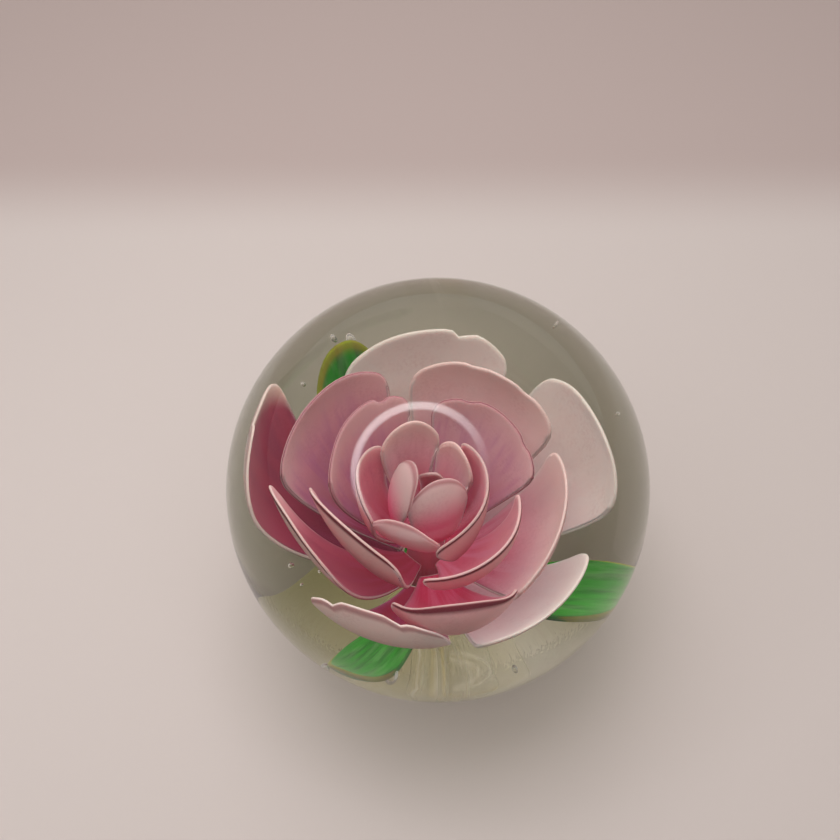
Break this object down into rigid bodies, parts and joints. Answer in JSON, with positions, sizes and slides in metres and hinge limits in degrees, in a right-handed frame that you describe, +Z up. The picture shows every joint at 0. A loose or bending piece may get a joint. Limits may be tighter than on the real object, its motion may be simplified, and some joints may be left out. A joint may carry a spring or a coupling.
{
  "type": "glass paperweight",
  "caption": "Clear glass ball paperweight with a flat ground base and a pink lampworked rose, green leaves and a pale stem sealed inside.",
  "frame": {"origin": "centre of the flat ground base", "axes": "+Z up through the ball, -Y the front of the flower, +X to the viewer's right"},
  "size_m": [0.08, 0.08, 0.0762],
  "materials": {
    "clear_glass": "polished",
    "foot": "polished",
    "stem": "polished",
    "receptacle": "polished",
    "leaf": "polished",
    "outer_petal": "polished",
    "middle_petal": "polished",
    "inner_petal": "polished",
    "cup_petal": "polished",
    "heart_petal": "polished",
    "bud_petal": "polished"
  },
  "bodies": {
    "root": {"pontil_foot": "foot", "flower_stem": "stem", "receptacle": "receptacle", "leaf_back_left": "leaf", "leaf_right": "leaf", "leaf_front_left": "leaf", "outer_petal_back": "outer_petal", "outer_petal_right": "outer_petal", "outer_petal_front_right": "outer_petal", "outer_petal_front_left": "outer_petal", "outer_petal_left": "outer_petal", "middle_petal_back_left": "middle_petal", "middle_petal_back": "middle_petal", "middle_petal_right": "middle_petal", "middle_petal_left": "middle_petal", "middle_petal_front": "middle_petal", "inner_petal_back_left": "inner_petal", "inner_petal_back_right": "inner_petal", "inner_petal_left": "inner_petal", "inner_petal_front": "inner_petal", "cup_petal_left": "cup_petal", "cup_petal_right": "cup_petal", "heart_petal_left": "heart_petal", "heart_petal_right": "heart_petal", "bud_petal_left": "bud_petal", "bud_petal_right": "bud_petal", "bud_petal_front": "bud_petal", "bud_petal_tip": "bud_petal", "glass_body": "clear_glass"}
  },
  "joints": []
}
